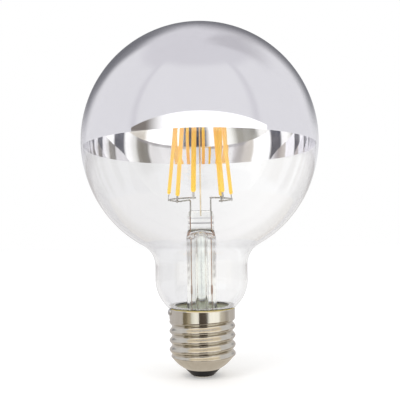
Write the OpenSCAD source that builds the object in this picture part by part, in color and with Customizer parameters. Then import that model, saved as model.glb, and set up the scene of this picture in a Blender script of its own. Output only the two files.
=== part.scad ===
// Globe lamp with a mirrored crown, LED filaments on a glass stem, and an E27 screw cap.
// Origin: centre of the contact button's flat end, on the lamp's axis. +Z runs up to the crown.
// Azimuths are measured from the front (-Y) towards +X.

/* [Lamp] */
// Diameter of the globe
globe_d = 95; // [90:0.5:100]
// Length of straight neck between the globe's blend and the shoulder, which sets the lamp's height
neck_len = 5.45; // [2:0.05:13]

/* [Glass envelope] */
// Wall of the blown envelope
glass_t = 0.7; // [0.5:0.05:1]
// Outer diameter of the neck
neck_d = 37; // [34:0.5:39]
// Radius of the hollow blend between globe and neck
neck_blend_r = 9; // [7:0.5:11]
// Radius of the shoulder that rounds the neck in towards the cap
shoulder_r = 15; // [14.5:0.1:15.5]
// How far the shoulder's foot stands out beyond the cap's skirt
seat_over = 0.32; // [0.2:0.02:0.6]
// Height at which the shoulder turns flat over the cap's rim
seat_z = 26.95; // [26.7:0.05:27.2]
// Clearance of the glass throat inside the cap's thread
throat_gap = 0.3; // [0.2:0.05:0.8]
// Height of the throat's fused lower end
throat_z = 21.2; // [20.6:0.1:22]

/* [Crown mirror] */
// How far the mirror's rim lies below the globe's equator
mirror_drop = 2.7; // [0:0.1:6]
// Drawn thickness of the metal film
mirror_t = 0.12; // [0.1:0.01:0.3]
// Clearance between the film and the glass
mirror_gap = 0.02; // [0.02:0.01:0.1]

/* [Glass stem] */
// Outer diameter of the stem tube
stem_d = 12; // [11:0.25:13]
// Wall of the stem tube
stem_t = 1; // [0.8:0.1:1.2]
// Radius of the flare that opens to the throat
flare_r = 9; // [8:0.25:10]
// Height of the pressed pinch's lower end
pinch_z = 58.5; // [56:0.5:60]
// Height of the pinch's top
pinch_top_z = 65.5; // [64:0.25:66.5]
// Width of the pinch across the two leads
pinch_w = 10.4; // [10:0.1:11.4]
// Thickness of the pinch
pinch_t = 3.4; // [3:0.1:4.5]
// Length over which the round tube flattens into the pinch
pinch_run = 4.5; // [3:0.25:6]
// Outer diameter of the exhaust tube
exhaust_d = 5.4; // [5:0.1:5.8]
// Bore of the exhaust tube
exhaust_bore_d = 3.4; // [3:0.1:3.8]
// Height of the exhaust tube's melted tip
exhaust_tip_z = 15; // [14.6:0.1:16]
// Bore that leads on from the exhaust tube up through the pinch
pinch_bore_d = 1.8; // [1.4:0.1:2.2]
// Diameter of the blown hole in the front of the pinch
blow_hole_d = 2.4; // [2:0.1:2.8]
// Height of the blown hole above the pinch's lower end
blow_hole_up = 2.9; // [2.4:0.1:3.2]

/* [Wires] */
// Diameter of the nickel lead, bus and ring wires
wire_d = 0.6; // [0.5:0.05:0.7]
// Diameter of the copper-clad wire sealed into the pinch
seal_wire_d = 0.4; // [0.3:0.05:0.45]
// Distance of each lead from the axis
lead_x = 4.1; // [3.9:0.05:4.2]
// Length of nickel lead that reaches down into the pinch
lead_in = 2.4; // [1.5:0.1:3]
// Height of the bus wires that carry the filaments' feet
bus_z = 69.8; // [69:0.1:72]
// Radius of the bus wires about the axis
bus_r = 12.8; // [11.5:0.1:13.5]
// Height of the ring that joins the filaments' heads
ring_z = 109.5; // [106:0.5:111]
// Radius of that ring
ring_r = 8.6; // [7.5:0.1:9.5]
// Azimuth at which the left lead meets its bus wire
left_spoke_a = -137; // [-139:1:-135]
// Azimuth at which the right lead meets its bus wire
right_spoke_a = 20; // [15:1:30]
// Radius at which the leads bend over to meet the bus wires
lead_bend_r = 1.2; // [0.9:0.1:1.6]

/* [LED filaments] */
// Azimuths of the three filaments on the left bus wire
left_filament_angles = [-132, -76, -12];
// Azimuths of the three filaments on the right bus wire
right_filament_angles = [41, 104, 138];
// Width of the phosphor-coated strip
strip_w = 1.9; // [1.6:0.05:2.1]
// Thickness of the strip
strip_t = 1.4; // [1.1:0.05:1.6]
// Radius of the strip's rounded ends
strip_end_r = 1.15; // [1.1:0.05:1.6]
// Width of the metal end tabs
tab_w = 0.9; // [0.7:0.05:1.1]
// Thickness of the end tabs
tab_t = 0.25; // [0.2:0.01:0.3]
// Free length of each tab between its wire and the strip
tab_len = 2.1; // [1.8:0.1:3]
// Length of each tab inside the strip
tab_in = 1.2; // [0.8:0.1:1.5]
// Length of each tab that passes beyond its wire
tab_over = 0.6; // [0.4:0.1:1]
// Clearance at welds and sealed joints
weld_gap = 0.02; // [0.01:0.01:0.05]

/* [Screw cap] */
// Gap between the shell's rim and the glass above it, which the cement fills
rim_gap = 0.42; // [0.4:0.02:0.6]
// How far the plain skirt above the thread lies under the thread's crests
skirt_under = 0.05; // [0.02:0.01:0.15]
// Wall of the rolled brass shell
shell_t = 0.3; // [0.25:0.01:0.35]
// Outer diameter over the thread's crests
thread_d = 26.3; // [26.05:0.05:26.45]
// Depth of the thread
thread_depth = 1.05; // [1:0.01:1.12]
// Pitch of the round thread, seven turns to the inch
thread_pitch = 3.629; // [3.5:0.01:3.7]
// Height of one crest on the +X side, which sets where the thread starts
crest_z = 19.5; // [17.7:0.1:21.3]
// Height at which the thread runs out into the skirt
thread_top_z = 22; // [21.6:0.1:22.2]
// Height at which the thread runs out into the shell's dome
thread_low_z = 8; // [7.6:0.1:9]
// Length over which the thread fades at either end
thread_fade = 1.5; // [1.2:0.1:1.8]
// Radius of the domed lower end of the shell
dome_r = 15; // [14.6:0.1:15.4]
// Diameter of the opening in the dome that the insulator fills
dome_hole_d = 14.4; // [13.5:0.1:15]
// Height of that opening's edge
dome_rim_z = 3.15; // [3:0.05:3.4]

/* [Insulator and contact] */
// Diameter of the insulator's lower end
tip_d = 9.6; // [9:0.1:10.4]
// Height of the insulator's lower face above the contact's flat end
tip_z = 0.35; // [0.3:0.05:0.6]
// Rounding of the insulator's lower edge
tip_round = 0.7; // [0.4:0.1:1]
// Height of the insulator's collar inside the shell
collar_h = 1.6; // [1.2:0.1:2]
// How far the collar reaches out over the dome's opening
collar_over = 1; // [0.7:0.1:1.4]
// Diameter of the contact button
button_d = 6.8; // [6:0.1:7.2]
// Diameter of the button's flat end
button_flat_d = 5.4; // [4.5:0.1:6]
// Diameter of the contact's pin
pin_d = 2.4; // [2:0.1:2.8]
// How far the pin's upper end stands above the insulator's collar
pin_rise = 0.55; // [0.4:0.05:0.75]
// Clearance of the pin in the insulator, and of the insulator in the shell
fit_gap = 0.05; // [0.02:0.01:0.1]

/* [Basing] */
// Clearance of the basing cement to the glass and the shell
cement_gap = 0.02; // [0.02:0.01:0.05]
// Azimuth of the soldered side lead at the shell's rim
side_a = -74; // [-90:1:-60]
// Radius of the drop of solder on the rim
solder_r = 1.6; // [1.4:0.05:1.65]
// How far the solder stands proud of the shell
solder_proud = 0.95; // [0.85:0.05:1]
// Depth of the solder's centre below the shell's rim
solder_drop = 1.15; // [1.1:0.05:1.3]
// Diameter of the side lead
side_lead_d = 0.3; // [0.25:0.01:0.32]

/* [Driver] */
// Width of the driver board
board_w = 16; // [14:0.25:17]
// Height of the driver board
board_h = 12; // [11.5:0.1:12.6]
// Thickness of the driver board
board_t = 1; // [0.8:0.1:1.2]
// Clearance of the board's lower edge above the insulator's collar
board_up = 1.95; // [1.8:0.05:2.3]
// Distance of the board's front face behind the axis
board_y = 3.6; // [3.5:0.05:3.9]
// Diameter of the smoothing capacitor's can
can_d = 6; // [5.5:0.1:6.2]
// Length of the capacitor
can_l = 9; // [8:0.25:9.5]
// Diameter of the fusible resistor
fuse_d = 2.8; // [2.4:0.1:3]
// Length of the fusible resistor's body
fuse_l = 7.5; // [6.5:0.25:8]
// Distance of the fusible resistor from the axis
fuse_x = 7.2; // [7:0.1:7.6]
// Diameter of the leads inside the cap
cap_lead_d = 0.5; // [0.4:0.05:0.6]
// Distance of the rectifier and of the chip from the board's middle
chip_x = 3.6; // [3.4:0.1:3.9]
// Distance of their centres below the board's upper edge
chip_drop = 4.2; // [3.8:0.1:4.4]

/* [Hidden] */
$fn = 96;
arc_step = 3;
shell_sides = 48;
wire_sides = 10;
hull_fn = 32;

globe_r = globe_d / 2;
neck_r = neck_d / 2;
wire_r = wire_d / 2;
skirt_r = thread_d / 2 - skirt_under;
root_r = thread_d / 2 - thread_depth;
throat_r = root_r - shell_t - throat_gap;
stem_r = stem_d / 2;
dome_hole_r = dome_hole_d / 2;

// The shoulder's arc leaves the neck's side upright and ends over the cap's rim.
shoulder_x = neck_r - shoulder_r;
shoulder_in = neck_r - skirt_r - seat_over;
shoulder_z = seat_z + sqrt(shoulder_in * (2 * shoulder_r - shoulder_in));

// The blend circle touches the neck's side and the globe, so the globe's centre follows from it.
// Where it meets the globe, the two arcs share one tangent.
blend_x = neck_r + neck_blend_r;
blend_z = shoulder_z + neck_len;
globe_z = blend_z + sqrt(pow(globe_r + neck_blend_r, 2) - blend_x * blend_x);
blend_a = atan2(globe_z - blend_z, blend_x);

// The flare leaves the tube's side and ends where it meets the throat's inner wall.
flare_end_r = throat_r - glass_t - weld_gap;
flare_x = stem_r + flare_r;
flare_a = acos((flare_x - flare_end_r) / flare_r);
flare_z = throat_z + flare_r * sin(flare_a);
tube_top_z = pinch_z - pinch_run;
cavity_top_z = tube_top_z + pinch_run * 0.4;

// A filament runs from the bus wire up and inwards to the ring.
filament_run = norm([bus_r - ring_r, ring_z - bus_z]);
filament_lean = atan2(bus_r - ring_r, ring_z - bus_z);
filament_out = wire_r + weld_gap + tab_t / 2;
strip_l = filament_run - 2 * tab_len;
filament_azimuths = concat(left_filament_angles, right_filament_angles);
bus_end_a = 4;
ring_spokes = 3;

// The flats of the shell's many sides lie this much nearer to the axis than its corners.
shell_flat = cos(180 / shell_sides);

// The thread's mean radius and swing.
thread_mean = root_r + thread_depth / 2;
thread_swing = thread_depth / 2;
dome_z = dome_rim_z + sqrt(dome_r * dome_r - dome_hole_r * dome_hole_r);
shell_top_z = seat_z - rim_gap;
cement_z = thread_top_z + thread_fade / 2 + 0.2;
solder_z = shell_top_z - solder_drop;

// The insulator fills the dome's opening and its collar rests on the dome's inside.
mouth_r = dome_hole_r * (dome_r - shell_t) / dome_r - fit_gap;
collar_r = mouth_r + collar_over;
collar_z = dome_z - sqrt(pow(dome_r - shell_t - fit_gap, 2) - collar_r * collar_r);
collar_top_z = collar_z + collar_h;
pin_top_z = collar_top_z + pin_rise;

board_z = collar_top_z + board_up;
board_back_y = board_y + board_t;
can_z = board_z + can_d / 2 + 0.3;
can_y = board_y - can_d / 2 - 0.2;
fuse_y = 0.4;
fuse_z = board_z + 1.4;
knot_z = 32;
splice_h = 3.4;

FILAMENTS = [for (i = [1 : len(filament_azimuths)]) i];

// Points of an arc about a centre, from one angle to another, no more than arc_step apart.
function arc(centre, r, from, to) =
    let (n = max(1, ceil(abs(to - from) / arc_step)))
    [for (i = [0 : n]) let (a = from + (to - from) * i / n) centre + r * [cos(a), sin(a)]];

function reverse(points) = [for (i = [len(points) - 1 : -1 : 0]) points[i]];
function smooth(low, high, v) = let (t = min(1, max(0, (v - low) / (high - low)))) t * t * (3 - 2 * t);
function mix(a, b, t) = a + (b - a) * t;
function polar(r, azimuth, z) = [r * sin(azimuth), -r * cos(azimuth), z];

// The envelope's shape with its outer face moved inwards by inset: globe, blend and neck, shoulder, throat.
// Each arc ends on a line through its own centre, where it hands over to the next with one tangent.
module envelope_solid(inset) {
    r = globe_r - inset;
    side = neck_r - inset;
    flat_z = seat_z + inset;
    meet = [r * cos(blend_a), globe_z - r * sin(blend_a)];
    rotate_extrude() intersection() {
        translate([0, globe_z]) circle(r = r);
        translate([0, meet[1]]) square([globe_d, globe_d]);
    }
    rotate_extrude() difference() {
        polygon([[0, meet[1]], meet, [blend_x, blend_z], [side, blend_z], [side, shoulder_z],
                 [0, shoulder_z]]);
        translate([blend_x, blend_z]) circle(r = neck_blend_r + inset);
    }
    rotate_extrude() intersection() {
        translate([shoulder_x, shoulder_z]) circle(r = shoulder_r - inset);
        translate([0, flat_z]) square([globe_d, shoulder_z - flat_z]);
    }
    translate([0, 0, throat_z]) cylinder(r = throat_r - inset, h = shoulder_z - throat_z);
}

module at_azimuth(azimuth, r, z) {
    translate(polar(r, azimuth, z)) rotate([0, 0, azimuth]) children();
}

// A filament's own frame: Z runs up its length from the bus wire and -Y faces out.
module along_filament(azimuth) {
    at_azimuth(azimuth, bus_r, bus_z) rotate([-filament_lean, 0, 0])
        translate([0, -filament_out, 0]) children();
}

// A closed mesh over rows of points, where every row has the same number of points round the axis.
// The last row joins the first when the section is a closed loop, else flat ends close it.
module skin(rows, loop) {
    n = len(rows[0]);
    m = len(rows);
    points = [for (row = rows) for (p = row) p];
    sides = [for (i = [0 : (loop ? m - 1 : m - 2)]) for (j = [0 : n - 1])
        let (a = i * n + j, b = i * n + (j + 1) % n,
             c = ((i + 1) % m) * n + j, d = ((i + 1) % m) * n + (j + 1) % n)
        each [[a, b, d], [a, d, c]]];
    ends = loop ? [] : [[for (j = [n - 1 : -1 : 0]) j], [for (j = [0 : n - 1]) (m - 1) * n + j]];
    polyhedron(points = points, faces = concat(sides, ends));
}

// A round wire along points, with each ring square to the path.
module bent_wire(path, d) {
    last = len(path) - 1;
    unit = function(v) v / norm(v);
    along = [for (i = [0 : last]) unit(path[min(i + 1, last)] - path[max(i - 1, 0)])];
    function side(i) = i == 0
        ? unit(cross(along[0], abs(along[0][0]) < 0.9 ? [1, 0, 0] : [0, 1, 0]))
        : let (s = side(i - 1)) unit(s - (s * along[i]) * along[i]);
    rows = [for (i = [0 : last])
        let (u = side(i), v = cross(along[i], u))
        [for (j = [0 : wire_sides - 1]) let (a = -360 * j / wire_sides)
            path[i] + d / 2 * (cos(a) * u + sin(a) * v)]];
    skin(rows, false);
}

// A path through corner points whose corners are rounded by a bend of about the given radius.
function rounded_path(corners, bend) = concat(
    [corners[0]],
    [for (i = [1 : 1 : len(corners) - 2])
        let (p = corners[i], u = corners[i - 1] - p, v = corners[i + 1] - p,
             cut = min(bend, norm(u) * 0.45, norm(v) * 0.45),
             a = p + u / norm(u) * cut, b = p + v / norm(v) * cut)
        for (t = [0 : 0.25 : 1]) (1 - t) * (1 - t) * a + 2 * t * (1 - t) * p + t * t * b],
    [corners[len(corners) - 1]]);

// Glass envelope and its mirror

module glass_globe() {
    color([0.92, 0.94, 0.95, 0.3]) difference() {
        envelope_solid(0);
        envelope_solid(glass_t);
        cylinder(r = throat_r - glass_t, h = throat_z + glass_t);
    }
}

module crown_mirror() {
    outer_r = globe_r - glass_t - mirror_gap;
    color([0.82, 0.82, 0.84]) rotate_extrude() translate([0, globe_z]) difference() {
        intersection() {
            circle(r = outer_r);
            translate([0, -mirror_drop]) square([globe_d, globe_d]);
        }
        circle(r = outer_r - mirror_t);
    }
}

// Stem: flare, tube and pinch are one fused piece of glass

module stem_outside() {
    rotate_extrude() difference() {
        polygon([[0, throat_z], [flare_end_r, throat_z], [flare_x, flare_z], [stem_r, flare_z],
                 [stem_r, tube_top_z], [0, tube_top_z]]);
        translate([flare_x, flare_z]) circle(r = flare_r);
    }
    pinch_shape(stem_r - weld_gap, pinch_w, pinch_t, tube_top_z, pinch_z, pinch_top_z);
}

// The round tube flattening into the pressed pinch.
module pinch_shape(tube_r, w, t, tube_z, low_z, top_z) {
    edge_r = t / 2;
    hull() {
        translate([0, 0, tube_z - 1]) cylinder(r = tube_r, h = 0.9, $fn = hull_fn);
        for (x = [-1, 1]) translate([x * (w / 2 - edge_r), 0, low_z])
            cylinder(r = edge_r, h = 0.1, $fn = hull_fn);
    }
    hull() for (x = [-1, 1]) translate([x * (w / 2 - edge_r), 0, low_z]) {
        cylinder(r = edge_r, h = 0.1, $fn = hull_fn);
        translate([0, 0, top_z - low_z - edge_r]) sphere(r = edge_r, $fn = hull_fn);
    }
}

module stem_cavity() {
    inner_r = stem_r - stem_t;
    rotate_extrude() difference() {
        polygon([[0, throat_z - 1], [flare_x, throat_z - 1], [flare_x, flare_z], [inner_r, flare_z],
                 [inner_r, tube_top_z], [lead_x + seal_wire_d, cavity_top_z], [0, cavity_top_z]]);
        translate([flare_x, flare_z]) circle(r = flare_r + stem_t);
    }
}

module glass_stem() {
    lead_end_z = pinch_top_z - lead_in;
    color([0.9, 0.93, 0.94, 0.4]) difference() {
        stem_outside();
        stem_cavity();
        translate([0, 0, cavity_top_z - 0.1])
            cylinder(d = pinch_bore_d, h = pinch_z + blow_hole_up - cavity_top_z);
        translate([0, 0, pinch_z + blow_hole_up]) rotate([90, 0, 0])
            cylinder(d = blow_hole_d, h = pinch_t);
        for (x = [-lead_x, lead_x]) {
            translate([x, 0, cavity_top_z - 0.1])
                cylinder(d = seal_wire_d + 2 * weld_gap, h = lead_end_z - cavity_top_z + 0.2);
            translate([x, 0, lead_end_z]) cylinder(d = wire_d + 2 * weld_gap, h = lead_in + 1);
        }
        translate([0, 0, lead_end_z]) cylinder(d = wire_d + 2 * weld_gap, h = lead_in + 1);
    }
}

module exhaust_tube() {
    top_z = cavity_top_z - weld_gap;
    r = exhaust_d / 2;
    bore_r = exhaust_bore_d / 2;
    color([0.9, 0.93, 0.94, 0.4]) rotate_extrude() difference() {
        polygon([[0, exhaust_tip_z], [0.7, exhaust_tip_z], [1.5, exhaust_tip_z + 0.8],
                 [r, exhaust_tip_z + 3.6], [r, top_z], [0, top_z]]);
        polygon([[0, exhaust_tip_z + 2.4], [0.5, exhaust_tip_z + 2.6],
                 [bore_r, exhaust_tip_z + 4.4], [bore_r, top_z + 1], [0, top_z + 1]]);
    }
}

// Wires of the mount

module seal_wire(side) {
    low_z = cavity_top_z;
    color([0.78, 0.42, 0.3]) translate([side * lead_x, 0, low_z])
        cylinder(d = seal_wire_d, h = pinch_top_z - lead_in - low_z - weld_gap);
}

module inner_lead(side, spoke_a) {
    start = [side * lead_x, 0, pinch_top_z - lead_in];
    knee = [side * lead_x, 0, bus_z];
    slant = 0.36 * wire_r;
    end = polar(bus_r - wire_r - weld_gap - slant, spoke_a, bus_z);
    color([0.62, 0.62, 0.6]) bent_wire(rounded_path([start, knee, end], lead_bend_r), wire_d);
}

module bus_wire(azimuths, spoke_a) {
    low = min(concat(azimuths, [spoke_a])) - bus_end_a;
    high = max(concat(azimuths, [spoke_a])) + bus_end_a;
    color([0.66, 0.66, 0.64]) translate([0, 0, bus_z]) rotate([0, 0, low - 90])
        rotate_extrude(angle = high - low) translate([bus_r, 0]) circle(r = wire_r);
}

module centre_support_wire() {
    low_z = pinch_top_z - lead_in + weld_gap;
    color([0.7, 0.68, 0.62]) translate([0, 0, low_z])
        cylinder(d = wire_d, h = ring_z - wire_r - weld_gap - low_z);
}

module head_ring() {
    color([0.66, 0.66, 0.64]) translate([0, 0, ring_z]) {
        rotate_extrude() translate([ring_r, 0]) circle(r = wire_r);
        for (i = [0 : ring_spokes - 1]) rotate([0, 90, i * 180 / ring_spokes])
            cylinder(r = wire_r * 0.9, h = 2 * ring_r, center = true);
    }
}

// LED filaments and their welded end tabs

module tab(z, h, grow = 0) {
    translate([-tab_w / 2 - grow, -tab_t / 2 - grow, z]) cube([tab_w + 2 * grow, tab_t + 2 * grow, h]);
}

module filament(azimuth) {
    flat_w = strip_w - strip_t;
    color([1, 0.7, 0.15]) along_filament(azimuth) translate([0, 0, tab_len]) difference() {
        intersection() {
            linear_extrude(strip_l) {
                square([flat_w, strip_t], center = true);
                for (x = [-1, 1]) translate([x * flat_w / 2, 0]) circle(d = strip_t);
            }
            rotate([90, 0, 0]) linear_extrude(2 * strip_t, center = true) {
                for (z = [strip_end_r, strip_l - strip_end_r]) translate([0, z]) circle(r = strip_end_r);
                translate([-strip_end_r, strip_end_r])
                    square([2 * strip_end_r, strip_l - 2 * strip_end_r]);
            }
        }
        tab(-1, 1 + tab_in, weld_gap);
        tab(strip_l - tab_in, 1 + tab_in, weld_gap);
    }
}

module foot_tab(azimuth) {
    color([0.75, 0.74, 0.7]) along_filament(azimuth)
        tab(-tab_over, tab_over + tab_len + tab_in - weld_gap);
}

module head_tab(azimuth) {
    color([0.75, 0.74, 0.7]) along_filament(azimuth)
        tab(filament_run - tab_len - tab_in + weld_gap, tab_len + tab_in + tab_over - weld_gap);
}

// Screw cap

// Outer radius of the shell: skirt above, round right-hand thread, then the dome.
function dome_line(z) = sqrt(max(0, dome_r * dome_r - pow(dome_z - z, 2)));
function thread_weight(z) = smooth(thread_low_z - thread_fade / 2, thread_low_z + thread_fade / 2, z)
    * (1 - smooth(thread_top_z - thread_fade / 2, thread_top_z + thread_fade / 2, z));
function shell_radius(angle, z) = mix(
    z > crest_z - thread_pitch ? skirt_r : min(dome_line(z), skirt_r),
    thread_mean + thread_swing * cos(360 * (z - crest_z) / thread_pitch - angle),
    thread_weight(z));

// Heights of the rows down the shell, and the dome's rows as angles below its centre.
function shell_heights(per_turn) =
    let (low = thread_low_z - thread_fade / 2, high = thread_top_z + thread_fade / 2,
         n = ceil((high - low) / thread_pitch * per_turn))
    concat([shell_top_z], [for (i = [0 : n]) mix(high, low, i / n)]);
function dome_angles(r, n) =
    let (from = asin((dome_z - thread_low_z + thread_fade / 2) / dome_r) + 4,
         to = acos(dome_hole_r / dome_r))
    [for (i = [0 : n]) mix(from, to, i / n)];

function shell_ring(r_of, z) = [for (j = [0 : shell_sides - 1])
    let (a = 360 * j / shell_sides, r = r_of(a)) [r * cos(a), r * sin(a), z]];

module screw_shell() {
    outer = concat(
        [for (z = shell_heights(8)) shell_ring(function(a) shell_radius(a, z), z)],
        [for (b = dome_angles(dome_r, 4))
            shell_ring(function(a) dome_r * cos(b), dome_z - dome_r * sin(b))]);
    inner_dome_r = dome_r - shell_t;
    inner = concat(
        [for (z = shell_heights(6)) shell_ring(function(a) shell_radius(a, z) - shell_t, z)],
        [for (b = dome_angles(inner_dome_r, 3))
            shell_ring(function(a) inner_dome_r * cos(b), dome_z - inner_dome_r * sin(b))]);
    color([0.78, 0.75, 0.7]) skin(concat(outer, reverse(inner)), true);
}

// Half section of the insulator: the visible cone, a groove for the dome's edge and a collar inside.
module cap_insulator() {
    low_r = tip_d / 2;
    lip_z = dome_rim_z - fit_gap;
    color([0.09, 0.09, 0.1]) difference() {
        rotate_extrude() polygon(concat(
            [[0, tip_z], [low_r - tip_round, tip_z]],
            arc([low_r - tip_round, tip_z + tip_round], tip_round, -90, -30),
            [[dome_hole_r - fit_gap, lip_z], [mouth_r, lip_z], [mouth_r, collar_z],
             [collar_r, collar_z + weld_gap], [collar_r, collar_top_z], [0, collar_top_z]]));
        cylinder(d = pin_d + 2 * fit_gap, h = collar_top_z + fit_gap);
    }
}

module centre_contact() {
    shoulder_h = tip_z - fit_gap;
    head_h = 0.5;
    color([0.8, 0.76, 0.68]) rotate_extrude() polygon(concat(
        [[0, 0], [button_flat_d / 2, 0], [button_d / 2, shoulder_h * 0.7],
         [button_d / 2, shoulder_h], [pin_d / 2, shoulder_h],
         [pin_d / 2, pin_top_z - head_h], [pin_d / 2 - 0.3, pin_top_z], [0, pin_top_z]]));
}

// Cement between the throat and the skirt, which also fills the gap between rim and shoulder.
module basing_cement() {
    color([0.72, 0.64, 0.3]) difference() {
        rotate_extrude() difference() {
            translate([0, cement_z]) square([skirt_r - 0.1, seat_z - cement_gap - cement_z]);
            translate([0, cement_z - 1]) square([throat_r + cement_gap, globe_d]);
            translate([(skirt_r - shell_t) * shell_flat - cement_gap, cement_z - 1])
                square([skirt_r, shell_top_z + cement_gap - cement_z + 1]);
        }
        side_lead_shape(side_lead_d + 2 * cement_gap);
    }
}

module side_solder() {
    color([0.72, 0.72, 0.72]) difference() {
        at_azimuth(side_a, skirt_r + solder_proud - solder_r, solder_z) sphere(r = solder_r);
        translate([0, 0, solder_z - skirt_r]) cylinder(r = skirt_r + weld_gap, h = 2 * skirt_r);
        side_lead_shape(side_lead_d + 2 * cement_gap);
    }
}

// Driver inside the cap

module driver_board() {
    color([0.35, 0.5, 0.2]) translate([-board_w / 2, board_y, board_z]) cube([board_w, board_t, board_h]);
}

module on_board(x, up) {
    translate([x, board_back_y + weld_gap, board_z + up]) children();
}

// A moulded body on rows of feet, set off the board by its feet's thickness.
module chip(w, h, body_t, feet, pitch, foot_w) {
    foot_l = 0.9;
    stand_off = 0.2;
    translate([-w / 2, stand_off, -h / 2]) cube([w, body_t, h]);
    for (i = [0 : feet - 1], z = [-h / 2 - 0.8, h / 2 - 0.1])
        translate([(i - (feet - 1) / 2) * pitch - foot_w / 2, 0, z]) cube([foot_w, 0.5, foot_l]);
}

module bridge_rectifier() {
    color([0.12, 0.12, 0.13]) on_board(-chip_x, board_h - chip_drop)
        chip(4.7, 3.9, 1.5, 2, 2.6, 0.6);
}

module driver_chip() {
    color([0.1, 0.1, 0.11]) on_board(chip_x, board_h - chip_drop)
        chip(4.9, 3.9, 1.4, 4, 1.27, 0.4);
}

module chip_resistors() {
    pitch = 5;
    body = [3.2, 0.6, 1.6];
    color([0.15, 0.15, 0.16]) for (i = [-1 : 1]) on_board(i * pitch, 2.2)
        translate([-body[0] / 2, 0, -body[2] / 2]) cube(body);
}

module smoothing_capacitor() {
    groove = 0.35;
    r = can_d / 2;
    color([0.16, 0.2, 0.3]) translate([can_l / 2, can_y, can_z]) rotate([0, -90, 0]) rotate_extrude()
        polygon([[0, 0], [r - groove, 0], [r, groove], [r, 1.2], [r - groove, 1.5], [r - groove, 1.7],
                 [r, 2], [r, can_l - groove], [r - groove, can_l], [0, can_l]]);
}

module fusible_resistor() {
    r = fuse_d / 2;
    color([0.45, 0.6, 0.5]) translate([-fuse_x, fuse_y, fuse_z]) {
        rotate_extrude() polygon([[0, 0], [r - 0.5, 0], [r, 0.5], [r, 1.5], [r - 0.2, 2],
            [r - 0.2, fuse_l - 2], [r, fuse_l - 1.5], [r, fuse_l - 0.5], [r - 0.5, fuse_l], [0, fuse_l]]);
        translate([0, 0, fuse_l - 0.1]) cylinder(d = cap_lead_d, h = 1);
    }
}

// Copper leads from the pinch down to pads near the board's upper edge.
module outer_lead_shape(side, d) {
    top_z = cavity_top_z - weld_gap;
    pad = [side * (lead_x + 0.6), board_y - cap_lead_d / 2 - 0.05, board_z + board_h - 3.2];
    bent_wire(rounded_path([[side * lead_x, 0, top_z], [side * lead_x, 0, throat_z + 3],
                            pad + [0, 0, 2.6], pad], 1), d);
}

// A welded splice thickens each copper lead inside the flare.
module outer_lead(side) {
    color([0.75, 0.48, 0.32]) {
        outer_lead_shape(side, seal_wire_d);
        translate([side * lead_x, 0, knot_z]) cylinder(d = seal_wire_d * 2, h = splice_h);
    }
}

// Side lead: from a pad on the board up through the cement, over the rim and down under the solder.
module side_lead_shape(d) {
    up_r = skirt_r - shell_t - side_lead_d;
    low_r = root_r - shell_t - side_lead_d - 0.1;
    over_z = shell_top_z + rim_gap / 2;
    out_r = skirt_r + side_lead_d / 2 + 3 * weld_gap;
    start = [-board_w / 2 - side_lead_d, board_y + board_t / 2, board_z + 3];
    bent_wire(rounded_path([start, start + [-0.4, -0.6, 1.5], polar(low_r, side_a, cement_z - 3),
                            polar(up_r - 0.4, side_a, cement_z - 0.8),
                            polar(up_r - 0.2, side_a, over_z), polar(out_r, side_a, over_z),
                            polar(out_r, side_a, solder_z)], 0.35), d);
}

module side_input_lead() {
    color([0.8, 0.75, 0.68]) side_lead_shape(side_lead_d);
}

module centre_input_lead() {
    path = rounded_path([[-fuse_x, fuse_y, fuse_z - 0.1], [-fuse_x + 0.3, fuse_y, board_z + 0.4],
                         [-3.2, 0, pin_top_z + 0.9], [-pin_d / 2 - 0.2, 0, pin_top_z + cap_lead_d / 2 + 0.05],
                         [pin_d / 2, 0, pin_top_z + cap_lead_d / 2 + 0.05]], 0.8);
    color([0.7, 0.68, 0.62]) bent_wire(path, cap_lead_d);
}

module board_solder() {
    color([0.75, 0.75, 0.75]) for (side = [-1, 1]) difference() {
        translate([side * (lead_x + 0.6), board_y - weld_gap, board_z + board_h - 3])
            rotate([90, 0, 0]) cylinder(r1 = 0.9, r2 = 0.6, h = 0.7);
        outer_lead_shape(side, seal_wire_d + 2 * weld_gap);
    }
}

glass_globe();
crown_mirror();
glass_stem();
exhaust_tube();
seal_wire(-1);  // seal_wire_left
seal_wire(1);  // seal_wire_right
inner_lead(-1, left_spoke_a);  // inner_lead_left
inner_lead(1, right_spoke_a);  // inner_lead_right
outer_lead(-1);  // outer_lead_left
outer_lead(1);  // outer_lead_right
bus_wire(left_filament_angles, left_spoke_a);  // bus_wire_left
bus_wire(right_filament_angles, right_spoke_a);  // bus_wire_right
centre_support_wire();
head_ring();
for (i = FILAMENTS) {
    filament(filament_azimuths[i - 1]);
    foot_tab(filament_azimuths[i - 1]);
    head_tab(filament_azimuths[i - 1]);
}
screw_shell();
cap_insulator();
centre_contact();
basing_cement();
side_solder();
driver_board();
bridge_rectifier();
driver_chip();
chip_resistors();
smoothing_capacitor();
fusible_resistor();
side_input_lead();
centre_input_lead();
board_solder();
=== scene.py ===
import math

import bmesh
import bpy
from mathutils import Euler, Matrix, Vector


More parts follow.
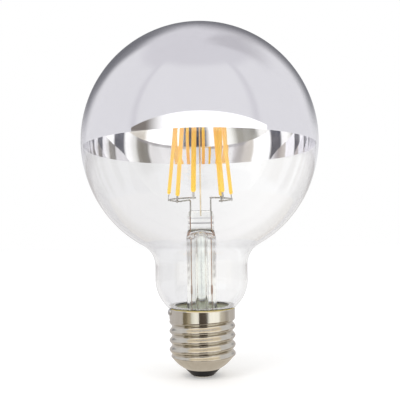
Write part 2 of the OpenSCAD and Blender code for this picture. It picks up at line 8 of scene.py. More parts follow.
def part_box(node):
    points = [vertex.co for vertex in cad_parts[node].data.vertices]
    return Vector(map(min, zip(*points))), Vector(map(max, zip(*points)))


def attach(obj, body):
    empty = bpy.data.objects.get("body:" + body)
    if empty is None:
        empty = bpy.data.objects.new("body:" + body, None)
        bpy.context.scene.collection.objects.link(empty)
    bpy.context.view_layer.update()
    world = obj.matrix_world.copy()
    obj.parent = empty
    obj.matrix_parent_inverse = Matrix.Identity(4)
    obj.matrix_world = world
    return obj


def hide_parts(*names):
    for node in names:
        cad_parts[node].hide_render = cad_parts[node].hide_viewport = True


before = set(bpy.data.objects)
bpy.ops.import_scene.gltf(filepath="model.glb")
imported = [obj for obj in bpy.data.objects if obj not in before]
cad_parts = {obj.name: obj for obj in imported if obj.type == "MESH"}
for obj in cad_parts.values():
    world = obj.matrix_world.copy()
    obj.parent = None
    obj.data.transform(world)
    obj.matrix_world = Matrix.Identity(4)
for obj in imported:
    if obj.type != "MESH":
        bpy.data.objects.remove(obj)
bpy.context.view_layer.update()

# The photographer's camera: a 51 mm view from a little below the middle of the globe.
# It looks slightly up at the lamp and is rolled by less than a degree.
mm = 0.001
camera = bpy.data.objects.new("camera", bpy.data.cameras.new("camera"))
bpy.context.scene.collection.objects.link(camera)
bpy.context.scene.camera = camera
camera.data.lens = 51.0
camera.data.clip_start = 10 * mm
camera_tilt = math.radians(3.8)
camera_roll = math.radians(0.84)
camera.location = (-0.2 * mm, -229 * mm, 54.5 * mm)
camera.rotation_mode = "QUATERNION"
camera.rotation_quaternion = (Euler((math.radians(90) + camera_tilt, 0, 0)).to_quaternion()
                              @ Euler((0, 0, -camera_roll)).to_quaternion())


# Glass envelope: one blown bulb of clear soda glass, globe, neck and throat in one wall.
# The neck is drawn in by a round blend, and the shoulder turns flat over the cap's rim.
# The throat below it is fused to the stem's flare, inside the cap.
def arc(x, z, radius, start, end, step=1.5):
    """Points (radius, height) along an arc about (x, z), with the angles in degrees."""
    count = max(2, math.ceil(abs(end - start) / step))
    angles = [math.radians(start + (end - start) * i / count) for i in range(count + 1)]
    return [(x + radius * math.cos(a), z + radius * math.sin(a)) for a in angles]


def skin(name, rows, loop=False, sharp=40):
    """A smooth closed mesh over rows of points. Rows close on themselves, and the ends are capped unless they loop."""
    around = len(rows[0])
    faces = []
    for i in range(len(rows) if loop else len(rows) - 1):
        here, there = i * around, (i + 1) % len(rows) * around
        faces += [(here + j, here + (j + 1) % around, there + (j + 1) % around, there + j) for j in range(around)]
    if not loop:
        faces += [tuple(range(around)), tuple(range((len(rows) - 1) * around, len(rows) * around))]
    mesh = bpy.data.meshes.new(name)
    mesh.from_pydata([tuple(p) for row in rows for p in row], [], faces)
    welded = bmesh.new()
    welded.from_mesh(mesh)
    bmesh.ops.remove_doubles(welded, verts=welded.verts, dist=0.0005 * mm)
    bmesh.ops.dissolve_degenerate(welded, edges=welded.edges, dist=0.0005 * mm)
    bmesh.ops.recalc_face_normals(welded, faces=welded.faces)
    welded.to_mesh(mesh)
    welded.free()
    mesh.shade_smooth()
    mesh.set_sharp_from_angle(angle=math.radians(sharp))
    piece = bpy.data.objects.new(name, mesh)
    bpy.context.scene.collection.objects.link(piece)
    return piece


def lathe(name, profile, sides=192, loop=True, sharp=40):
    """A turned piece: the profile's (radius, height) points revolved about the lamp's axis."""
    turns = [2 * math.pi * j / sides for j in range(sides)]
    rows = [[(r * math.sin(a), -r * math.cos(a), z) for a in turns] for r, z in profile]
    return skin(name, rows, loop, sharp)


def add(tree, kind, inputs=None, **settings):
    """A shader node whose inputs are set to values or joined to other nodes' outputs."""
    node = tree.nodes.new("ShaderNode" + kind)
    for key, value in settings.items():
        setattr(node, key, value)
    for key, value in (inputs or {}).items():
        if isinstance(value, bpy.types.NodeSocket):
            tree.links.new(value, node.inputs[key])
        else:
            node.inputs[key].default_value = value
    return node


def material(name, **sockets):
    """A node material and its principled shader, with the sockets named by words set to constants."""
    made = bpy.data.materials.new(name)
    made.use_nodes = True
    shader = made.node_tree.nodes["Principled BSDF"]
    for key, value in sockets.items():
        shader.inputs[key.replace("_", " ")].default_value = value
    return made, made.node_tree, shader


def effect(name, inputs, outputs):
    """A node group for a shared effect, with its input and output nodes. Sockets are (name, kind, value)."""
    group = bpy.data.node_groups.new(name, "ShaderNodeTree")
    for label, kind, value in inputs:
        group.interface.new_socket(label, in_out="INPUT", socket_type="NodeSocket" + kind).default_value = value
    for label, kind in outputs:
        group.interface.new_socket(label, in_out="OUTPUT", socket_type="NodeSocket" + kind)
    return group, group.nodes.new("NodeGroupInput"), group.nodes.new("NodeGroupOutput")


def use(tree, group, **inputs):
    """The shared effect in a material, with its inputs set."""
    node = tree.nodes.new("ShaderNodeGroup")
    node.node_tree = group
    for key, value in inputs.items():
        node.inputs[key.replace("_", " ")].default_value = value
    return node


def place(piece, look, slot, *nodes):
    """The piece takes its material, rides with the lamp and stands for the CAD nodes. The slot is not used."""
    piece.data.materials.clear()
    piece.data.materials.append(look)
    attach(piece, "root")
    if nodes:
        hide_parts(*nodes)
    return piece


globe_low, globe_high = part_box("glass_globe")
globe_r = (globe_high[0] - globe_low[0]) / 2
globe_z = globe_high[2] - globe_r
throat_z = globe_low[2]
throat_r = 11.5 * mm
glass_t = 0.7 * mm
neck_r = 18.5 * mm
blend_r = 9 * mm
shoulder_r = 15 * mm
shoulder_z = 38.2 * mm
seat_z = 26.95 * mm


def envelope_profile(inset):
    """The envelope's half section from throat to crown, moved inwards by inset."""
    blend_x = neck_r + blend_r
    blend_z = globe_z - math.sqrt((globe_r + blend_r) ** 2 - blend_x ** 2)
    meet = math.degrees(math.atan2(globe_z - blend_z, blend_x))
    shoulder_x = neck_r - shoulder_r
    turn = math.degrees(math.asin((shoulder_z - seat_z - inset) / (shoulder_r - inset)))
    return ([(throat_r - inset, throat_z), (throat_r - inset, seat_z + inset)]
            + arc(shoulder_x, shoulder_z, shoulder_r - inset, -turn, 0, 3)
            + arc(blend_x, blend_z, blend_r + inset, 180, 180 - meet, 4)
            + arc(0, globe_z, globe_r - inset, -meet, 90))


# Faint drift in the glass's surface, as blown glass has, so that reflections waver a little.
blown, given, result = effect("blown_surface", [("Scale", "Float", 40.0)], [("Height", "Float")])
place_in_glass = add(blown, "TexCoord")
waves = add(blown, "TexNoise", {"Vector": place_in_glass.outputs["Object"], "Scale": given.outputs["Scale"],
                                "Detail": 1.0, "Roughness": 0.4})
blown.links.new(waves.outputs["Fac"], result.inputs["Height"])

clear_glass, tree, shader = material("clear_glass", Transmission_Weight=1.0, Roughness=0.0, IOR=1.5,
                                     Base_Color=(1.0, 1.0, 1.0, 1))
waver = use(tree, blown, Scale=28.0)
bump = add(tree, "Bump", {"Height": waver.outputs["Height"], "Strength": 0.05, "Distance": 0.4 * mm})
tree.links.new(bump.outputs["Normal"], shader.inputs["Normal"])
# The glass is tinted grey where it is seen edge-on: painted shade along the bulb's outline.
slant = add(tree, "LayerWeight", {"Blend": 0.5})
edge_on = add(tree, "MapRange", {"Value": slant.outputs["Facing"], "From Min": 0.7}, interpolation_type="SMOOTHSTEP")
edge_shade = add(tree, "MixRGB", {"Fac": edge_on.outputs["Result"], "Color1": (1, 1, 1, 1), "Color2": (0.84, 0.86, 0.87, 1)})
tree.links.new(edge_shade.outputs["Color"], shader.inputs["Base Color"])
place(lathe("glass_bulb", envelope_profile(0) + envelope_profile(glass_t)[::-1]),
      clear_glass, "clear_glass", "glass_globe")

# Crown mirror: a metal film evaporated on the inside of the globe's upper half.
# It ends in a clean edge just below the globe's widest point.
mirror_r = globe_r - glass_t - 0.02 * mm
mirror_t = 0.12 * mm
mirror_rim_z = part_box("crown_mirror")[0][2]
rim_angle = math.degrees(math.asin((mirror_rim_z - globe_z) / mirror_r))
silvering, tree, shader = material("silvering", Metallic=1.0)
spot = add(tree, "TexCoord")
haze = add(tree, "TexNoise", {"Vector": spot.outputs["Object"], "Scale": 60.0, "Detail": 3.0})
tint = add(tree, "ValToRGB", {"Fac": haze.outputs["Fac"]})
tint.color_ramp.elements[0].color = (0.89, 0.885, 0.91, 1)
tint.color_ramp.elements[1].color = (0.93, 0.925, 0.95, 1)
gloss = add(tree, "MapRange", {"Value": haze.outputs["Fac"], "To Min": 0.01, "To Max": 0.035})
tree.links.new(tint.outputs["Color"], shader.inputs["Base Color"])
tree.links.new(gloss.outputs["Result"], shader.inputs["Roughness"])
place(lathe("mirror_crown", arc(0, globe_z, mirror_r, rim_angle, 90)
            + arc(0, globe_z, mirror_r - mirror_t, 90, rim_angle), sharp=60),
      silvering, "mirror_film", "crown_mirror")

# Stem: a flared glass tube, pressed flat at its top into the pinch that seals the lead wires.
# The flare's foot is fused to the throat. A hole blown through the pinch's front opens the exhaust tube.
stem_r = 6 * mm
stem_t = 1 * mm
flare_r = 9 * mm
flare_end_r = throat_r - glass_t - 0.02 * mm
flare_x = stem_r + flare_r
flare_angle = math.degrees(math.acos((flare_x - flare_end_r) / flare_r))
flare_z = throat_z + flare_r * math.sin(math.radians(flare_angle))
pinch_z = 58.5 * mm
pinch_run = 4.5 * mm
pinch_top_z = 65.5 * mm
pinch_half_w = 5.2 * mm
pinch_half_t = 1.7 * mm


def smooth(low, high, value):
    """0 below low, 1 above high, and an even ease between them."""
    t = min(1.0, max(0.0, (value - low) / (high - low)))
    return t * t * (3 - 2 * t)


def oval(half_x, half_y, z, power, count=96):
    """A ring from round, at power 2, towards a rounded rectangle at higher powers."""
    ring = []
    for j in range(count):
        c, s = math.cos(2 * math.pi * j / count), math.sin(2 * math.pi * j / count)
        ring.append((half_x * math.copysign(abs(c) ** (2 / power), c), half_y * math.copysign(abs(s) ** (2 / power), s), z))
    return ring


def stem_ring(x_r, y_r, z, squeeze):
    """A ring of the stem as the round tube is squeezed into the pinch."""
    return oval(x_r, y_r, z, 2 + 2.2 * squeeze)


flare = arc(flare_x, flare_z, flare_r, 180 + flare_angle, 180, 4)
stem_rows = [stem_ring(r, r, z, 0) for r, z in flare]
inner_rows = [stem_ring(r, r, z, 0) for r, z in
              arc(flare_x, flare_z, flare_r + stem_t, 180 + math.degrees(math.asin((flare_z - throat_z) / (flare_r + stem_t))), 180, 4)]
tube_top_z = pinch_z - pinch_run
for i in range(13):
    z = flare_z + (tube_top_z - flare_z) * (i + 1) / 13
    stem_rows.append(stem_ring(stem_r, stem_r, z, 0))
    inner_rows.append(stem_ring(stem_r - stem_t, stem_r - stem_t, z, 0))
for i in range(1, 17):
    z = tube_top_z + pinch_run * i / 16
    press = smooth(tube_top_z, pinch_z, z)
    stem_rows.append(stem_ring(stem_r + (pinch_half_w - stem_r) * press, stem_r + (pinch_half_t - stem_r) * press, z, press))
for i in range(1, 25):
    t = i / 24
    z = pinch_z + (pinch_top_z - pinch_z) * t
    ripple = 0.16 * mm * math.sin(2 * math.pi * 3.5 * t) * (1 - t)
    crown = math.sqrt(max(0.0, 1 - max(0.0, (t - 0.78) / 0.22) ** 2))
    stem_rows.append(stem_ring(pinch_half_w - pinch_half_t * (1 - crown) + ripple * 0.5,
                               max(0.05 * mm, (pinch_half_t + ripple) * crown), z, 1))
for i in range(1, 7):
    t = i / 6
    inner_rows.append(stem_ring((stem_r - stem_t) * (1 - 0.72 * t * t), (stem_r - stem_t) * (1 - 0.72 * t * t),
                                tube_top_z + 0.5 * pinch_run * t, 0))
stem_glass, tree, shader = material("stem_glass", Transmission_Weight=1.0, Roughness=0.01, IOR=1.54,
                                    Base_Color=(0.99, 1.0, 0.99, 1))
waver = use(tree, blown, Scale=260.0)
bump = add(tree, "Bump", {"Height": waver.outputs["Height"], "Strength": 0.25, "Distance": 0.3 * mm})
tree.links.new(bump.outputs["Normal"], shader.inputs["Normal"])
place(skin("stem", inner_rows[::-1] + stem_rows), stem_glass, "stem_glass", "glass_stem")

# Exhaust tube: the narrow glass tube inside the stem through which the bulb was pumped and filled.
# Its lower end was melted to a drop inside the cap.
exhaust_r = 2.7 * mm
bore_r = 1.7 * mm
exhaust_low, exhaust_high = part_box("exhaust_tube")
place(lathe("exhaust", [(0, exhaust_low[2]), (0.9 * mm, exhaust_low[2] + 0.15 * mm), (1.7 * mm, exhaust_low[2] + 1.0 * mm),
                        (exhaust_r, exhaust_low[2] + 3.6 * mm), (exhaust_r, exhaust_high[2]),
                        (bore_r, exhaust_high[2]), (bore_r, exhaust_low[2] + 4.6 * mm),
                        (0.6 * mm, exhaust_low[2] + 2.7 * mm), (0, exhaust_low[2] + 2.4 * mm)], 96, False, 50),
      stem_glass, "stem_glass", "exhaust_tube")

# Lead wires: copper-clad pieces sealed in the pinch, with nickel welded on above and copper below.
# The nickel leads bend over at the top and are welded to the bus wires.
wire_r = 0.3 * mm
seal_wire_r = 0.2 * mm
lead_x = 4.1 * mm
lead_end_z = pinch_top_z - 2.4 * mm
bus_z = 69.8 * mm
bus_r = 12.8 * mm


def polar(radius, azimuth, z):
    """A point by its distance from the axis, its azimuth from the front towards +X in degrees, and its height."""
    a = math.radians(azimuth)
    return Vector((radius * math.sin(a), -radius * math.cos(a), z))


def rounded(corners, bend):
    """The path through these corner points with each corner rounded off over about the length of bend."""
    path = [Vector(corners[0])]
    for before, corner, after in zip(corners, corners[1:], corners[2:]):
        corner, u, v = Vector(corner), Vector(before) - Vector(corner), Vector(after) - Vector(corner)
        cut = min(bend, u.length * 0.45, v.length * 0.45)
        a, b = corner + u.normalized() * cut, corner + v.normalized() * cut
        path += [(1 - t) ** 2 * a + 2 * t * (1 - t) * corner + t * t * b for t in (i / 8 for i in range(9))]
    return path + [Vector(corners[-1])]


def wire(name, path, radius, sides=20):
    """A round wire along a path, with cut ends. The radius may be a number or a function of the place along it."""
    size = radius if callable(radius) else (lambda t: radius)
    along = [(path[min(i + 1, len(path) - 1)] - path[max(i - 1, 0)]).normalized() for i in range(len(path))]
    side = along[0].orthogonal().normalized()
    rows = []
    for i, (point, way) in enumerate(zip(path, along)):
        side = (side - side.dot(way) * way).normalized()
        up = way.cross(side)
        r = size(i / (len(path) - 1))
        rows.append([point + r * (math.cos(a) * side + math.sin(a) * up)
                     for a in (2 * math.pi * j / sides for j in range(sides))])
    return skin(name, rows)


# Fine lengthwise scratches and dulling, as drawn wire and handled metal have.
drawn, given, result = effect("drawn_metal", [("Scale", "Float", 900.0), ("Low", "Float", 0.2), ("High", "Float", 0.45)],
                              [("Roughness", "Float"), ("Height", "Float"), ("Shade", "Float")])
spot = add(drawn, "TexCoord")
streak = add(drawn, "Mapping", {"Vector": spot.outputs["Object"], "Scale": (1.0, 1.0, 0.15)})
grain = add(drawn, "TexNoise", {"Vector": streak.outputs["Vector"], "Scale": given.outputs["Scale"], "Detail": 4.0})
rough = add(drawn, "MapRange", {"Value": grain.outputs["Fac"], "From Min": 0.3, "From Max": 0.7,
                                "To Min": given.outputs["Low"], "To Max": given.outputs["High"]})
drawn.links.new(rough.outputs["Result"], result.inputs["Roughness"])
drawn.links.new(grain.outputs["Fac"], result.inputs["Height"])
drawn.links.new(grain.outputs["Fac"], result.inputs["Shade"])


def metal(name, dark, light, low, high, scale=900.0, bumps=0.1):
    """A drawn or handled metal between two colours and two roughnesses."""
    made, tree, shader = material(name, Metallic=1.0)
    worn = use(tree, drawn, Scale=scale, Low=low, High=high)
    shade = add(tree, "ValToRGB", {"Fac": worn.outputs["Shade"]})
    shade.color_ramp.elements[0].position, shade.color_ramp.elements[1].position = 0.3, 0.7
    shade.color_ramp.elements[0].color, shade.color_ramp.elements[1].color = (*dark, 1), (*light, 1)
    bump = add(tree, "Bump", {"Height": worn.outputs["Height"], "Strength": bumps, "Distance": 0.02 * mm})
    tree.links.new(shade.outputs["Color"], shader.inputs["Base Color"])
    tree.links.new(worn.outputs["Roughness"], shader.inputs["Roughness"])
    tree.links.new(bump.outputs["Normal"], shader.inputs["Normal"])
    return made


nickel = metal("nickel_wire", (0.34, 0.33, 0.31), (0.56, 0.55, 0.52), 0.22, 0.42)
copper = metal("copper_wire", (0.40, 0.21, 0.14), (0.62, 0.37, 0.26), 0.3, 0.5)
for side, node, spoke in ((-1, "left", -137), (1, "right", 20)):
    seal_low, seal_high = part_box("seal_wire_" + node)
    place(wire("seal_" + node, [Vector((side * lead_x, 0, seal_low[2] + (seal_high[2] - seal_low[2]) * i / 8)) for i in range(9)],
               seal_wire_r), copper, "copper_wire", "seal_wire_" + node)
    path = rounded([(side * lead_x, 0, lead_end_z), (side * lead_x, 0, bus_z),
                    polar(bus_r - wire_r - 0.13 * mm, spoke, bus_z)], 1.2 * mm)
    place(wire("lead_" + node, path, wire_r), nickel, "nickel_wire", "inner_lead_" + node)

# Bus wires: two nickel arcs, one on each lead, that carry the filaments' lower ends.
# Each is cut a little past its outer welds.
for node, low, high in (("left", -141, -8), ("right", 16, 142)):
    count = math.ceil((high - low) / 3)
    path = [polar(bus_r, low + (high - low) * i / count, bus_z) for i in range(count + 1)]
    place(wire("bus_" + node, path, wire_r), nickel, "nickel_wire", "bus_wire_" + node)

# Head ring and its support: the filaments' upper ends are welded to a wire ring with cross spokes.
# A straight wire from the pinch carries it on the lamp's axis.
ring_z = 109.5 * mm
ring_r = 8.6 * mm
support_low, support_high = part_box("centre_support_wire")
bright_wire = metal("bright_support_wire", (0.98, 0.80, 0.50), (1.0, 0.92, 0.74), 0.2, 0.35)
place(wire("support", [Vector((0, 0, support_low[2] + (support_high[2] - support_low[2]) * i / 12)) for i in range(13)], wire_r),
      bright_wire, "nickel_wire", "centre_support_wire")
ring_rows = []
for i in range(96):
    centre, out = polar(ring_r, 360 * i / 96, ring_z), polar(1, 360 * i / 96, 0)
    ring_rows.append([centre + wire_r * (math.cos(a) * out + math.sin(a) * Vector((0, 0, 1)))
                      for a in (2 * math.pi * j / 20 for j in range(20))])
ring = skin("ring", ring_rows, loop=True)
spokes = [wire("spoke", [polar(ring_r, 60 * i, ring_z), polar(0, 0, ring_z), polar(ring_r, 60 * i + 180, ring_z)], wire_r * 0.9)
          for i in range(3)]
joined = bmesh.new()
for part in [ring] + spokes:
    joined.from_mesh(part.data)
joined.to_mesh(ring.data)
joined.free()
for part in spokes:
    bpy.data.objects.remove(part)
place(ring, nickel, "nickel_wire", "head_ring")

# LED filaments: each is a row of blue chips on a thin strip, coated all over in silicone with yellow phosphor.
# The coating bulges slightly over the chips. They lean in towards the ring, and are welded by a tab at each end.
filament_azimuths = (-132, -76, -12, 41, 104, 138)
tab_free = 2.1 * mm
strip_half_w = 0.95 * mm
strip_half_t = 0.7 * mm
filament_run = math.hypot(bus_r - ring_r, ring_z - bus_z)
lean = math.atan2(bus_r - ring_r, ring_z - bus_z)
strip_length = filament_run - 2 * tab_free
chips = 28
phosphor, tree, shader = material("phosphor", Subsurface_Weight=0.35, Subsurface_Scale=0.8 * mm, Subsurface_Radius=(1.0, 0.6, 0.2),
                                  IOR=1.42)
spot = add(tree, "TexCoord")
height = add(tree, "SeparateXYZ", {"Vector": spot.outputs["Object"]})
rise = add(tree, "MapRange", {"Value": height.outputs["Z"], "From Min": 74 * mm, "From Max": 106 * mm})
grains = add(tree, "TexNoise", {"Vector": spot.outputs["Object"], "Scale": 1500.0, "Detail": 3.0})
mixed = add(tree, "MixRGB", {"Fac": rise.outputs["Result"], "Color1": (1.0, 0.65, 0.07, 1), "Color2": (1.0, 0.52, 0.20, 1)})
mottle = add(tree, "MixRGB", {"Fac": grains.outputs["Fac"], "Color1": mixed.outputs["Color"], "Color2": (1.0, 0.66, 0.10, 1)})
mottle_weight = add(tree, "MapRange", {"Value": grains.outputs["Fac"], "From Min": 0.35, "From Max": 0.75, "To Max": 0.35})
tree.links.new(mottle_weight.outputs["Result"], mottle.inputs["Fac"])
sheen = add(tree, "MapRange", {"Value": grains.outputs["Fac"], "To Min": 0.35, "To Max": 0.6})
bump = add(tree, "Bump", {"Height": grains.outputs["Fac"], "Strength": 0.2, "Distance": 0.03 * mm})
tree.links.new(mottle.outputs["Color"], shader.inputs["Base Color"])
# The coating's colour also glows at half strength: painted light, for the studio light that the glass keeps from the
# filaments.
tree.links.new(mottle.outputs["Color"], shader.inputs["Emission Color"])
shader.inputs["Emission Strength"].default_value = 0.5
tree.links.new(sheen.outputs["Result"], shader.inputs["Roughness"])
tree.links.new(bump.outputs["Normal"], shader.inputs["Normal"])
tab_metal = metal("tab_metal", (0.45, 0.44, 0.42), (0.68, 0.66, 0.62), 0.2, 0.38, 1400.0)
for number, azimuth in enumerate(filament_azimuths, 1):
    rows = []
    steps = chips * 6
    for i in range(steps + 1):
        t = i / steps
        end = min(t, 1 - t) * strip_length
        taper = math.sqrt(1 - (1 - min(1.0, (end + 0.02 * mm) / (0.9 * mm))) ** 2)
        swell = 1 + 0.035 * math.cos(2 * math.pi * chips * t) * smooth(0.5 * mm, 2 * mm, end)
        rows.append(oval(strip_half_w * taper * 0.99, strip_half_t * taper * swell * 0.96, tab_free + t * strip_length, 2.5, 32))
    strip = skin("filament_strip_" + str(number), rows, sharp=70)
    stand = (Matrix.Translation(polar(bus_r, azimuth, bus_z)) @ Matrix.Rotation(math.radians(azimuth), 4, "Z")
             @ Matrix.Rotation(-lean, 4, "X") @ Matrix.Translation((0, -(wire_r + 0.145 * mm), 0)))
    strip.data.transform(stand)
    place(strip, phosphor, "phosphor", "filament_" + str(number))
    for end in ("foot_tab_", "head_tab_"):
        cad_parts[end + str(number)].data.materials.clear()
        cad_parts[end + str(number)].data.materials.append(tab_metal)

# Screw shell: one piece of nickel-plated brass, drawn and then rolled into the round right-hand thread.
# Plain skirt above, seven turns to the inch below, and a domed end that grips the insulator.
thread_r = 13.15 * mm
root_r = 12.1 * mm
skirt_r = 13.1 * mm
shell_t = 0.3 * mm
pitch = 3.629 * mm
crest_z = 19.5 * mm
thread_top_z = 22 * mm
thread_low_z = 8 * mm
fade = 0.75 * mm
dome_r = 15 * mm
dome_hole_r = 7.2 * mm
dome_rim_z = 3.15 * mm
dome_z = dome_rim_z + math.sqrt(dome_r ** 2 - dome_hole_r ** 2)
shell_top_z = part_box("screw_shell")[1][2]


def shell_radius(azimuth, z):
    """The shell's outer radius at an angle anticlockwise from +X, in radians, and a height."""
    weight = smooth(thread_low_z - fade, thread_low_z + fade, z) * (1 - smooth(thread_top_z - fade, thread_top_z + fade, z))
    wave = (thread_r + root_r) / 2 + (thread_r - root_r) / 2 * math.cos(2 * math.pi * (z - crest_z) / pitch - azimuth)
    plain = skirt_r if z > crest_z - pitch else min(skirt_r, math.sqrt(dome_r ** 2 - (dome_z - z) ** 2))
    return plain + (wave - plain) * weight


def shell_rows(inset, count, sides=240):
    """Rings down the shell with its outer face moved inwards by inset: skirt, thread and dome."""
    rows = []
    low = thread_low_z - fade
    for i in range(count + 1):
        z = shell_top_z + (low - shell_top_z) * i / count
        lip = 0.12 * mm * smooth(shell_top_z - 0.35 * mm, shell_top_z, z) if not inset else 0
        rows.append([((shell_radius(a, z) - inset - lip) * math.cos(a), (shell_radius(a, z) - inset - lip) * math.sin(a), z)
                     for a in (2 * math.pi * j / sides for j in range(sides))])
    r = dome_r - inset
    start, end = math.asin((dome_z - low) / dome_r) + math.radians(2), math.acos(dome_hole_r / dome_r)
    for i in range(11):
        b = start + (end - start) * i / 10
        rows.append([(r * math.cos(b) * math.cos(a), r * math.cos(b) * math.sin(a), dome_z - r * math.sin(b))
                     for a in (2 * math.pi * j / sides for j in range(sides))])
    return rows


plating, tree, shader = material("plating", Metallic=1.0)
worn = use(tree, drawn, Scale=420.0, Low=0.10, High=0.2)
shade = add(tree, "ValToRGB", {"Fac": worn.outputs["Shade"]})
shade.color_ramp.elements[0].position, shade.color_ramp.elements[1].position = 0.25, 0.75
shade.color_ramp.elements[0].color, shade.color_ramp.elements[1].color = (0.60, 0.57, 0.50, 1), (0.68, 0.655, 0.59, 1)
bump = add(tree, "Bump", {"Height": worn.outputs["Height"], "Strength": 0.06, "Distance": 0.05 * mm})
tree.links.new(shade.outputs["Color"], shader.inputs["Base Color"])
tree.links.new(worn.outputs["Roughness"], shader.inputs["Roughness"])
tree.links.new(bump.outputs["Normal"], shader.inputs["Normal"])
place(skin("shell", shell_rows(0, 150) + shell_rows(shell_t, 70)[::-1], loop=True, sharp=60),
      plating, "nickel_plate", "screw_shell")

# Cap insulator: black moulded insulator, gripped by the shell's dome, that holds the contact apart from it.
insulator_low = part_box("cap_insulator")[0][2]
tip_r = 4.8 * mm
tip_round = 0.7 * mm
pin_r = 1.25 * mm
black, tree, shader = material("black_moulding", IOR=1.5, Specular_IOR_Level=0.12)
spot = add(tree, "TexCoord")
pores = add(tree, "TexNoise", {"Vector": spot.outputs["Object"], "Scale": 700.0, "Detail": 5.0})
shade = add(tree, "ValToRGB", {"Fac": pores.outputs["Fac"]})
shade.color_ramp.elements[0].color, shade.color_ramp.elements[1].color = (0.008, 0.008, 0.010, 1), (0.017, 0.016, 0.020, 1)
gloss = add(tree, "MapRange", {"Value": pores.outputs["Fac"], "To Min": 0.3, "To Max": 0.5})
bump = add(tree, "Bump", {"Height": pores.outputs["Fac"], "Strength": 0.2, "Distance": 0.03 * mm})
tree.links.new(shade.outputs["Color"], shader.inputs["Base Color"])
tree.links.new(gloss.outputs["Result"], shader.inputs["Roughness"])
tree.links.new(bump.outputs["Normal"], shader.inputs["Normal"])
mouth_r = dome_hole_r * (dome_r - shell_t) / dome_r - 0.05 * mm
collar_z = dome_z - math.sqrt((dome_r - shell_t - 0.05 * mm) ** 2 - (mouth_r + 1 * mm) ** 2)
place(lathe("insulator", [(pin_r, insulator_low), (tip_r - tip_round, insulator_low)]
            + arc(tip_r - tip_round, insulator_low + tip_round, tip_round, -90, -30, 10)
            + [(dome_hole_r - 0.05 * mm, dome_rim_z - 0.05 * mm), (mouth_r, dome_rim_z - 0.05 * mm), (mouth_r, collar_z),
               (mouth_r + 1 * mm, collar_z + 0.02 * mm), (mouth_r + 1 * mm, collar_z + 1.6 * mm), (pin_r, collar_z + 1.6 * mm)],
            128, True, 35), black, "insulator", "cap_insulator")

# Centre contact: a plated brass button, riveted into the insulator by its pin.
contact_metal = metal("contact_metal", (0.50, 0.44, 0.32), (0.74, 0.68, 0.55), 0.22, 0.4, 600.0)
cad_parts["centre_contact"].data.materials.clear()
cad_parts["centre_contact"].data.materials.append(contact_metal)

# Basing cement: ochre paste that fills the gap between throat and skirt and shows as a thin line at the rim.
# It was baked hard and is ochre. Below the rim, behind the throat, it is painted paler and glows a little: painted
# light, for the light that the glass pipes down to it.
cement, tree, shader = material("cement")
spot = add(tree, "TexCoord")
lumps = add(tree, "TexNoise", {"Vector": spot.outputs["Object"], "Scale": 500.0, "Detail": 5.0})
shade = add(tree, "ValToRGB", {"Fac": lumps.outputs["Fac"]})
shade.color_ramp.elements[0].position, shade.color_ramp.elements[1].position = 0.3, 0.7
shade.color_ramp.elements[0].color, shade.color_ramp.elements[1].color = (0.42, 0.31, 0.06, 1), (0.62, 0.51, 0.15, 1)
gloss = add(tree, "MapRange", {"Value": lumps.outputs["Fac"], "To Min": 0.55, "To Max": 0.9})
bump = add(tree, "Bump", {"Height": lumps.outputs["Fac"], "Strength": 0.5, "Distance": 0.1 * mm})
height = add(tree, "SeparateXYZ", {"Vector": spot.outputs["Object"]})
rim_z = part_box("basing_cement")[1][2]
at_rim = add(tree, "MapRange", {"Value": height.outputs["Z"], "From Min": rim_z - 0.8 * mm, "From Max": rim_z - 0.4 * mm})
# Painted light: a pale tone below the rim, with ochre kept at the rim.
painted_light_tone = add(tree, "MixRGB", {"Fac": lumps.outputs["Fac"], "Color1": (0.72, 0.78, 0.44, 1), "Color2": (0.95, 0.95, 0.78, 1)})
paste_and_painted_light = add(tree, "MixRGB", {"Fac": at_rim.outputs["Result"], "Color1": painted_light_tone.outputs["Color"], "Color2": shade.outputs["Color"]})
# Painted light: a faint glow below the rim, none at the rim.
painted_glow = add(tree, "MixRGB", {"Fac": at_rim.outputs["Result"], "Color1": (0.17, 0.18, 0.12, 1), "Color2": (0, 0, 0, 1)})
tree.links.new(painted_glow.outputs["Color"], shader.inputs["Emission Color"])
shader.inputs["Emission Strength"].default_value = 1.0
tree.links.new(paste_and_painted_light.outputs["Color"], shader.inputs["Base Color"])
tree.links.new(gloss.outputs["Result"], shader.inputs["Roughness"])
tree.links.new(bump.outputs["Normal"], shader.inputs["Normal"])
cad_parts["basing_cement"].data.materials.clear()
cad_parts["basing_cement"].data.materials.append(cement)

# Side solder: a drop of tin solder that joins the side lead to the shell's rim.
solder = metal("solder", (0.50, 0.50, 0.51), (0.86, 0.86, 0.86), 0.25, 0.5, 350.0, 0.35)
for node in ("side_solder", "board_solder"):
    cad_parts[node].data.materials.clear()
    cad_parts[node].data.materials.append(solder)

# Driver: a small board in the cap with its rectifier, chip, resistors, capacitor and fusible resistor.
# None of it shows. The leads that join it to the cap and to the pinch are plain tinned and copper wire.


def coated(name, dark, light, low, high, scale, bumps):
    """A lacquered, moulded or sleeved surface, mottled between two colours."""
    made, tree, shader = material(name)
    spot = add(tree, "TexCoord")
    cloud = add(tree, "TexNoise", {"Vector": spot.outputs["Object"], "Scale": scale, "Detail": 4.0})
    shade = add(tree, "ValToRGB", {"Fac": cloud.outputs["Fac"]})
    shade.color_ramp.elements[0].color, shade.color_ramp.elements[1].color = (*dark, 1), (*light, 1)
    gloss = add(tree, "MapRange", {"Value": cloud.outputs["Fac"], "To Min": low, "To Max": high})
    bump = add(tree, "Bump", {"Height": cloud.outputs["Fac"], "Strength": bumps, "Distance": 0.03 * mm})
    tree.links.new(shade.outputs["Color"], shader.inputs["Base Color"])
    tree.links.new(gloss.outputs["Result"], shader.inputs["Roughness"])
    tree.links.new(bump.outputs["Normal"], shader.inputs["Normal"])
    return made


